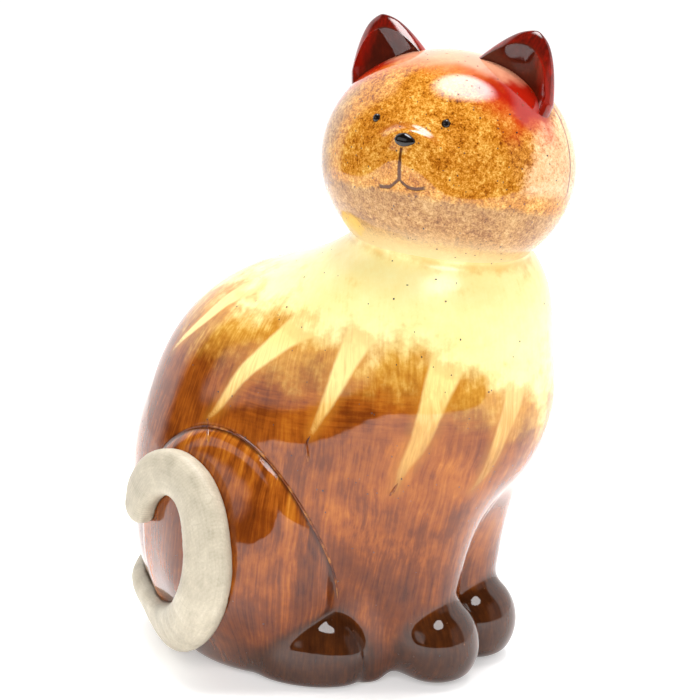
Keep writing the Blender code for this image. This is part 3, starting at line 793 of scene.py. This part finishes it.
tail_beads = [(row[:3], (row[3], TAIL_HALF_THICKNESS, row[3]), np.eye(3)) for row in TAIL]
tail_mesh = modelled("tail_slip", tail_beads, lambda p: trim(tail_shape(p), -TAIL_SINK - body_shape(p), 0.5),
                     TAIL_GRAIN)
smooth(tail_mesh, 75)
points = points_of(tail_mesh)
nearest = np.argmin(((points[:, None] - TAIL[None, :, :3]) ** 2).sum(axis=2), axis=1)
along = np.gradient(TAIL[:, :3], axis=0)
along /= np.linalg.norm(along, axis=1, keepdims=True)
length = np.concatenate(((0,), np.cumsum(np.linalg.norm(np.diff(TAIL[:, :3], axis=0), axis=1))))
away = points - TAIL[nearest, :3]
run = length[nearest] + (away * along[nearest]).sum(axis=1)
side = np.cross(TAIL_OUTWARD[nearest], along[nearest])
on_mesh(tail_mesh, "strap", np.column_stack((run, (away * side).sum(axis=1),
                                             (away * TAIL_OUTWARD[nearest]).sum(axis=1))))
on_mesh(tail_mesh, "lift", body_shape(points))

# Bare cream slip: a satin, slightly chalky skin with the cloth's marks 1 mm apart, faint drying
# cracks, and painted shade darkening the edge where it meets the body.
tail_slip, tree = new_material("unglazed_cream_slip")
place = add("TexCoord").outputs["Object"]
mm = add("VectorMath SCALE", place, 1000.0)
strap = add("Attribute", attribute_name="strap").outputs["Vector"]
run, _, _ = add("SeparateXYZ", strap).outputs
brushed = add("VectorMath MULTIPLY", strap, (0.12, 1, 1))
strokes = mottle(brushed, 0.9, 3, 0.6)
cloudy = mottle(mm, 7, 3, 0.55)
grain = mottle(mm, 0.7, 2, 0.5)
weave = add("TexWave", {"Vector": mm, "Scale": 0.31, "Distortion": 3.0, "Detail": 2.0,
                        "Detail Scale": 2.0}, wave_type="BANDS",
            bands_direction="DIAGONAL").outputs["Fac"]
cream = add("ValToRGB", sums(0.5, (cloudy, 0.8), (strokes, 0.45), (grain, 0.3), (weave, 0.06)),
            stops=((0.05, "8f8470"), (0.35, "afa591"), (0.6, "c0b6a1"), (0.9, "d6cdbb")))
# Grey hatching over the last 24 mm of the strap is partly the cloth's marks and partly painted shade, as if
# the tip curled under.
tip_start = float(length[-1]) - 24
hatch = add("TexWave", {"Vector": strap, "Scale": 0.28, "Distortion": 1.5, "Detail": 2.0},
            wave_type="BANDS", bands_direction="X").outputs["Fac"]
hatching_and_shade = product(add(EASE, run, tip_start, tip_start + 14), add(EASE, hatch, 0.75, 0.95))
colour = coats(cream, (product(hatching_and_shade, 0.28), "8d8674"))
cracks = add("TexVoronoi", {"Vector": mm, "Scale": 1 / 13, "Randomness": 1.0}, feature="DISTANCE_TO_EDGE")
crack = product(add(EASE, sums(cracks.outputs["Distance"], (grain, 0.012)), 0.02, 0.004),
                add(EASE, cloudy, 0.0, 0.12))
colour = coats(colour, (product(crack, 0.22), "8f806a"))
# Painted shade: the strap darkens within about a millimetre of the body.
lift = add("Attribute", attribute_name="lift").outputs["Fac"]
lift = sums(lift, (grain, 0.6), (cloudy, 0.8))
colour = coats(colour, (add(EASE, lift, 1.3, 0.15, 0, 0.85), "5c4630"))
ripple = sums(0.0, (strokes, 0.05), (grain, 0.04), (cloudy, 0.12), (crack, -0.03), (hatching_and_shade, -0.05))
fired(colour, 0.5, ripple, ior=1.45)
tail_mesh.materials.append(tail_slip)
tail_piece = add_piece("tail_slip", tail_mesh)
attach(tail_piece, "root")
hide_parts("tail")

# ---- slip lines: the haunch rims and the streaks' dribbles ----------------------------------
# A thread of slip, about a millimetre wide, is trailed round the rim of each haunch, and short
# dribbles of it run down from the tips of the streaks. Beside the rim thread a dark line of
# painted shade is drawn on the body.
DRIBBLES = (((-54.9, 19.9, 103.5), (-56.5, 19, 99), (-59, 17.5, 96.5), (-60.8, 16.6, 94.6)),
            ((-57.2, -26.2, 103), (-57.6, -25, 100), (-58, -25.4, 96), (-57.7, -25.5, 92.9)),
            ((-44.6, -56, 86), (-45, -54.8, 83.5), (-45.3, -53, 80.5)))
RIM_HALF_WIDTH, DRIBBLE_HALF_WIDTH, THREAD_SINK, THREAD_SIDES = 0.5, 0.65, 0.2, 10


def beside_rim(y, z, side):
    """Where the plain flank stands, straight out from the middle plane."""
    near, far = np.full(len(y), 20.0), np.full(len(y), 90.0)
    for _ in range(30):
        half = (near + far) / 2
        inside = torso(np.column_stack((half, y, z))) < 0
        near, far = np.where(inside, half, near), np.where(inside, far, half)
    return np.column_stack((side * near, y, z))


def onto_body(path):
    path = np.array(path, float)
    for _ in range(12):
        outward, steepness = slope_of(body_shape, path)
        path -= outward * (body_shape(path) / np.maximum(steepness, 0.3))[:, None]
    return path - slope_of(body_shape, path)[0] * THREAD_SINK


turns = np.radians(np.linspace(-14, 128, 90))    # from behind the hind paw, over the top, to the tail
rim_y = HAUNCH_MIDDLE[0] - (HAUNCH_RADII[0] + 0.3) * np.cos(turns)
rim_z = HAUNCH_MIDDLE[1] + (HAUNCH_RADII[1] + 0.3) * np.sin(turns)
threads = []
for side in (-1, 1):
    rim = onto_body(beside_rim(rim_y, rim_z, side))
    threads.append((rim, RIM_HALF_WIDTH * np.interp(np.arange(90), (0, 8, 70, 89), (0.2, 1, 1, 0.2))))
    for dribble in DRIBBLES:
        line = smooth_line([(side * -x, y, z) for x, y, z in dribble], 5)
        taper = np.interp(np.linspace(0, 1, len(line)), (0, 0.3, 0.8, 1), (0.3, 0.8, 1.1, 0.4))
        threads.append((onto_body(line), DRIBBLE_HALF_WIDTH * taper))

bm = bmesh.new()
widths = []
for path, half_widths in threads:
    spots = [bm.verts.new((spot - BOX_MIDDLE) * MM) for spot in path]
    for a, b in zip(spots, spots[1:]):
        bm.edges.new((a, b))
    widths.extend(half_widths * MM)
thread_mesh = as_mesh("threads", bm)
on_mesh(thread_mesh, "half_width", np.array(widths))

slip_thread, tree = new_material("clear_gloss_glaze_over_slip_thread")
place = add("TexCoord").outputs["Object"]
broken = add("TexNoise", {"Vector": place, "Scale": 1 / 0.005, "Detail": 3.0})
colour = add("ValToRGB", broken, stops=((0.3, "43190a"), (0.5, "7c3a10"), (0.66, "b0702c"),
                                        (0.8, "d9a75c")))
fired(colour, 0.08, broken, depth=0.0002)


def grown(name, base, **amounts):
    """Runs the tree in hand over a mesh and keeps the plain mesh that it makes."""
    carrier = add_piece(name, base)
    modifier = carrier.modifiers.new(name, "NODES")
    modifier.node_group = tree
    for item in tree.interface.items_tree:
        if item.item_type == "SOCKET" and item.in_out == "INPUT" and item.name in amounts:
            modifier[item.identifier] = amounts[item.name]
    mesh = as_made(carrier)
    mesh.name = name
    return mesh


def new_growth(name, **kinds):
    """An empty geometry tree with a mesh going in and out, and named inputs of their kinds."""
    made = bpy.data.node_groups.new(name, "GeometryNodeTree")
    for label, kind in {"Geometry": "Geometry", **kinds}.items():
        made.interface.new_socket(label, in_out="INPUT", socket_type="NodeSocket" + kind)
    made.interface.new_socket("Geometry", in_out="OUTPUT", socket_type="NodeSocketGeometry")
    return made


def end_growth(geometry, material):
    real = add("GeometryNodeRealizeInstances", {"Geometry": geometry})
    painted = add("GeometryNodeSetMaterial", {"Geometry": real, "Material": material})
    add("NodeGroupOutput", {"Geometry": painted})


tree = new_growth("trailed_thread", Thickness="Float", Sides="Int", Material="Material")
entry = add("NodeGroupInput").outputs
width = add("GeometryNodeInputNamedAttribute", {"Name": "half_width"}, data_type="FLOAT")
width = add("Math MULTIPLY", width, entry["Thickness"])
path = add("GeometryNodeMeshToCurve", {"Mesh": entry["Geometry"]})
ring = add("GeometryNodeCurvePrimitiveCircle", {"Resolution": entry["Sides"], "Radius": 1.0})
tube = add("GeometryNodeCurveToMesh", {"Curve": path, "Profile Curve": ring, "Scale": width,
                                       "Fill Caps": True})
tube = add("GeometryNodeSetShadeSmooth", {"Geometry": tube})
end_growth(tube, entry["Material"])
slip_mesh = grown("slip_threads", thread_mesh, Thickness=1.0, Sides=THREAD_SIDES, Material=slip_thread)
slip_piece = add_piece("slip_threads", slip_mesh)
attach(slip_piece, "root")

# ---- pinholes: burst bubbles in the glaze ---------------------------------------------------
# Gas from the clay leaves dark specks of 0.3 to 1 mm all over the glaze, thickest on the face
# and thin on the body. Each is a shallow dark bead, level with the skin.
PINHOLES_PER_SQUARE_METRE = {"head": 17000.0, "body": 3600.0}
PINHOLE_RADIUS, PINHOLE_SEED = 0.38, 7
pinhole_brown, tree = new_material("burst_bubble_in_gloss_glaze")
place = add("TexCoord").outputs["Object"]
speck = add("TexNoise", {"Vector": place, "Scale": 1 / 0.004, "Detail": 1.0})
colour = add("ValToRGB", speck, stops=((0.35, "1c0d05"), (0.5, "45220c"), (0.65, "7a4618")))
fired(colour, 0.35)

tree = new_growth("burst_bubbles", Density="Float", Radius="Float", Seed="Int", Material="Material")
entry = add("NodeGroupInput").outputs
bare = add("GeometryNodeInputNamedAttribute", {"Name": "bare"}, data_type="FLOAT")
glazed = add("FunctionNodeCompare", {0: bare, 1: 0.01}, data_type="FLOAT", operation="LESS_THAN")
scattered = add("GeometryNodeDistributePointsOnFaces",
                {"Mesh": entry["Geometry"], "Selection": glazed, "Density": entry["Density"],
                 "Seed": entry["Seed"]}, distribute_method="RANDOM")
bubble = add("GeometryNodeMeshIcoSphere", {"Radius": entry["Radius"], "Subdivisions": 1})
stretch = add("FunctionNodeRandomValue", {0: (0.45, 0.45, 0.16), 1: (1.35, 1.35, 0.2),
                                          "Seed": entry["Seed"]}, data_type="FLOAT_VECTOR")
bubbles = add("GeometryNodeInstanceOnPoints", {"Points": scattered.outputs["Points"], "Instance": bubble,
                                               "Rotation": scattered.outputs["Rotation"],
                                               "Scale": stretch})
end_growth(bubbles, entry["Material"])
for name, glazed_mesh in (("head", head_mesh), ("body", body_mesh)):
    specks = grown("pinholes_" + name, glazed_mesh.copy(), Density=PINHOLES_PER_SQUARE_METRE[name],
                   Radius=PINHOLE_RADIUS * MM, Seed=PINHOLE_SEED, Material=pinhole_brown)
    piece = add_piece("pinholes_" + name, specks)
    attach(piece, "root")

# ---- studio: a white table, white walls and a dark front ------------------------------------
# The glaze shows the room: white walls to both sides and behind, a dark room in front, a soft
# overhead light, and the white table's front edge half a metre ahead of the cat.
target = Vector(((0, -10, 120) - BOX_MIDDLE) * MM)
view_turn, view_rise, view_distance = np.radians(-60), np.radians(15), 1.1
VIEW_WIDTH = 700 / 2.6                           # mm of the scene across the view, at the cat
level = np.cos(view_rise)
toward_camera = Vector((np.sin(view_turn) * level, -np.cos(view_turn) * level, np.sin(view_rise)))
camera_data = bpy.data.cameras.new("camera")
camera_data.sensor_width = 36
camera_data.lens = view_distance * 1000 / VIEW_WIDTH * camera_data.sensor_width
camera = add_piece("camera", camera_data)
camera.location = target + toward_camera * view_distance
camera.rotation_euler = toward_camera.to_track_quat("Z", "Y").to_euler()
bpy.context.scene.camera = camera

FLOOR_AHEAD, FLOOR_BEHIND, FLOOR_SIDE = 0.5, 0.6, 0.9
flat_forward = Vector((toward_camera.x, toward_camera.y, 0)).normalized()
flat_right = Vector((-flat_forward.y, flat_forward.x, 0))
bm = bmesh.new()
for ahead, right in ((FLOOR_AHEAD, -FLOOR_SIDE), (FLOOR_AHEAD, FLOOR_SIDE), (-FLOOR_BEHIND, FLOOR_SIDE),
                     (-FLOOR_BEHIND, -FLOOR_SIDE)):
    bm.verts.new(flat_forward * ahead + flat_right * right)
bm.faces.new(bm.verts)
floor_mesh = as_mesh("floor", bm)
white_table, tree = new_material("white_laminate")
shader = add("BsdfPrincipled", {"Base Color": "f8f8f8", "Roughness": 0.7, "Emission Color": (1, 1, 1, 1),
                                "Emission Strength": 0.36})
add("OutputMaterial", {"Surface": shader})
floor_mesh.materials.append(white_table)
floor = add_piece("floor", floor_mesh)


def softbox(name, place, aim, size, power, shiny=True):
    light = bpy.data.lights.new(name, "AREA")
    light.shape = "ELLIPSE"
    light.size, light.size_y = size
    light.energy = power
    lamp = add_piece(name, light)
    lamp.location = place
    lamp.rotation_euler = (Vector(place) - Vector(aim)).to_track_quat("Z", "Y").to_euler()
    lamp.visible_glossy = shiny
    return lamp


middle = Vector((0, 0, 0.12))
lit = bpy.data.collections.new("lit_by_window_box")
lit.objects.link(body_piece)
paws = Vector((0, 0, 0.07))
window_place = paws + (flat_forward * 0.68 + Vector((0, 0, 0.74))) * 1.1 + flat_right * 0.06
window_box = softbox("window_box", window_place, paws, (0.62, 0.42), 6)
window_box.visible_diffuse = False
window_box.light_linking.receiver_collection = lit
softbox("front_fill", middle + flat_forward * 1.6 + Vector((0, 0, 0.9)), middle, (1.6, 1.2), 20, shiny=False)

ROOM_DARK, ROOM_WHITE, TOP_GLOW, SIDE_GLOW, LEFT_PANEL = 0.04, 1.5, 16.0, 0.35, 1.3
world = bpy.data.worlds.new("studio")
bpy.context.scene.world = world
world.use_nodes = True
tree = world.node_tree
tree.nodes.clear()
ray = add("TexCoord").outputs["Generated"]
ahead = add("VectorMath DOT_PRODUCT", ray, tuple(flat_forward))
right = add("VectorMath DOT_PRODUCT", ray, tuple(flat_right))
_, _, high = add("SeparateXYZ", ray).outputs
turn = add("Math ARCTAN2", right, ahead)
white = sums(add(EASE, turn, np.radians(74), np.radians(84)),
             (add(EASE, turn, np.radians(-108), np.radians(-120)), 1.0))
white = product(white, add(EASE, high, 0.84, 0.74))
glow_ahead = add("Math DIVIDE", ahead, high)
glow_right = add("Math DIVIDE", right, high)
off_ahead = add("Math POWER", sums(0.1, (glow_ahead, 1.0)), 2.0)
off_right = add("Math POWER", sums(-0.1, (glow_right, 1.0)), 2.0)
off_glow = add("Math SQRT", sums(off_ahead, (off_right, 0.8)))
glow = product(add(EASE, off_glow, 0.36, 0.18), add(EASE, high, 0.4, 0.5))
side = product(add(EASE, turn, np.radians(38), np.radians(46)),
               add(EASE, turn, np.radians(78), np.radians(72)))
side = product(side, product(add(EASE, high, -0.15, -0.05), add(EASE, high, 0.62, 0.5)))
panel = product(add(EASE, turn, np.radians(-94), np.radians(-84)),
                add(EASE, turn, np.radians(-30), np.radians(-38)))
panel = product(panel, product(add(EASE, high, 0.04, 0.11), add(EASE, high, 0.55, 0.44)))
strength = sums(ROOM_DARK, (white, ROOM_WHITE), (glow, TOP_GLOW), (side, SIDE_GLOW), (panel, LEFT_PANEL))
path = add("LightPath")
seen = add("Mix FLOAT", path.outputs["Is Camera Ray"], strength, 1.1)
backdrop = add("Background", {"Color": (1, 1, 1, 1), "Strength": seen})
add("OutputWorld", {"Surface": backdrop})
bpy.context.scene.view_settings.view_transform = "Standard"
